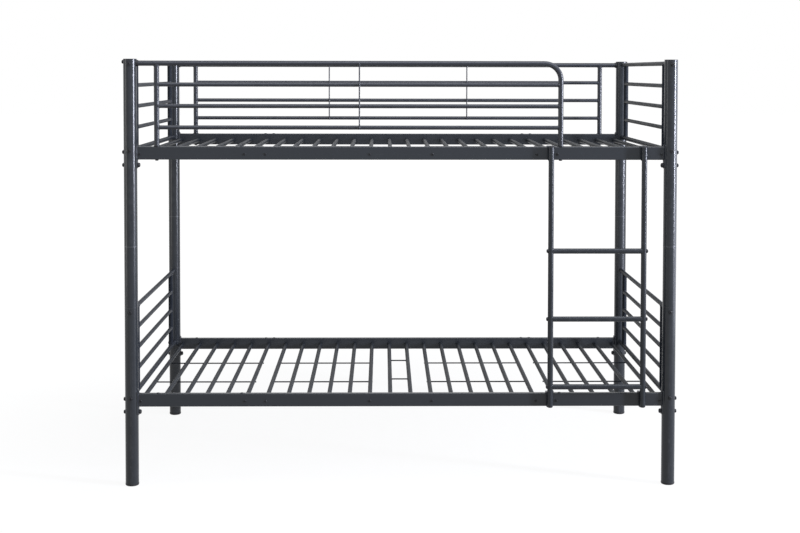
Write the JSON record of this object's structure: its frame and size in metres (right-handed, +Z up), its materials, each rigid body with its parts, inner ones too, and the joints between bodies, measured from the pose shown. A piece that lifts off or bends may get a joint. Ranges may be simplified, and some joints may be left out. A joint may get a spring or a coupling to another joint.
{
  "type": "bunk bed",
  "caption": "Twin-over-twin metal bunk bed of powder-coated steel tube, with barred end panels, slatted decks, guards on the upper bed and a hook-on ladder.",
  "frame": {"origin": "on the floor, midway between the four posts", "axes": "+X along the bed towards the ladder end, +Y from the ladder side towards the far side, +Z up"},
  "size_m": [1.9884, 1.0636, 1.531],
  "materials": {
    "graphite_powder_coat": "satin dark graphite powder coat on steel tube",
    "black_plastic": "moulded black plastic",
    "bolt_steel": "black-coated steel bolts and screws",
    "zinc_steel": "bright zinc-plated steel, inside the posts and bars"
  },
  "bodies": {
    "lower_bed": {"foot_caps": "black_plastic", "lower_end_panel_left": "graphite_powder_coat", "lower_end_panel_right": "graphite_powder_coat", "lower_panel_bolts": "bolt_steel", "lower_post_back_left": "graphite_powder_coat", "lower_post_back_right": "graphite_powder_coat", "lower_post_front_left": "graphite_powder_coat", "lower_post_front_right": "graphite_powder_coat", "lower_rail_bolts": "bolt_steel", "lower_rail_dome_nuts": "black_plastic", "lower_rail_plugs": "black_plastic", "lower_side_rail_back": "graphite_powder_coat", "lower_side_rail_front": "graphite_powder_coat", "lower_slat_panel_1": "graphite_powder_coat", "lower_slat_panel_2": "graphite_powder_coat", "lower_slat_panel_3": "graphite_powder_coat", "lower_slat_panel_4": "graphite_powder_coat", "lower_slat_panel_5": "graphite_powder_coat", "lower_slat_screws": "bolt_steel", "lower_spigots": "zinc_steel", "lower_thread_inserts": "zinc_steel", "middle_tube_back_left": "graphite_powder_coat", "middle_tube_back_right": "graphite_powder_coat", "middle_tube_front_left": "graphite_powder_coat", "middle_tube_front_right": "graphite_powder_coat", "upper_spigots": "zinc_steel"},
    "upper_bunk": {"back_guard": "graphite_powder_coat", "front_guard_frame": "graphite_powder_coat", "front_guard_infill": "graphite_powder_coat", "guard_bolts": "bolt_steel", "guard_spacers": "black_plastic", "top_caps": "black_plastic", "upper_end_panel_left": "graphite_powder_coat", "upper_end_panel_right": "graphite_powder_coat", "upper_panel_bolts": "bolt_steel", "upper_post_back_left": "graphite_powder_coat", "upper_post_back_right": "graphite_powder_coat", "upper_post_front_left": "graphite_powder_coat", "upper_post_front_right": "graphite_powder_coat", "upper_rail_bolts": "bolt_steel", "upper_rail_dome_nuts": "black_plastic", "upper_rail_plugs": "black_plastic", "upper_side_rail_back": "graphite_powder_coat", "upper_side_rail_front": "graphite_powder_coat", "upper_slat_panel_1": "graphite_powder_coat", "upper_slat_panel_2": "graphite_powder_coat", "upper_slat_panel_3": "graphite_powder_coat", "upper_slat_panel_4": "graphite_powder_coat", "upper_slat_panel_5": "graphite_powder_coat", "upper_slat_screws": "bolt_steel", "upper_thread_inserts": "zinc_steel"},
    "ladder": {"ladder_end_caps": "black_plastic", "ladder_hooks": "graphite_powder_coat", "ladder_rung_1": "graphite_powder_coat", "ladder_rung_2": "graphite_powder_coat", "ladder_rung_3": "graphite_powder_coat", "ladder_rung_bolts": "bolt_steel", "ladder_stile_left": "graphite_powder_coat", "ladder_stile_right": "graphite_powder_coat"}
  },
  "joints": [
    {"name": "upper_bunk_lift", "type": "slide", "parent": "lower_bed", "child": "upper_bunk", "axis": [0, 0, 1], "range_m": [0, 0.06]},
    {"name": "ladder_lift", "type": "slide", "parent": "upper_bunk", "child": "ladder", "axis": [0, 0, 1], "range_m": [0, 0.04]}
  ]
}
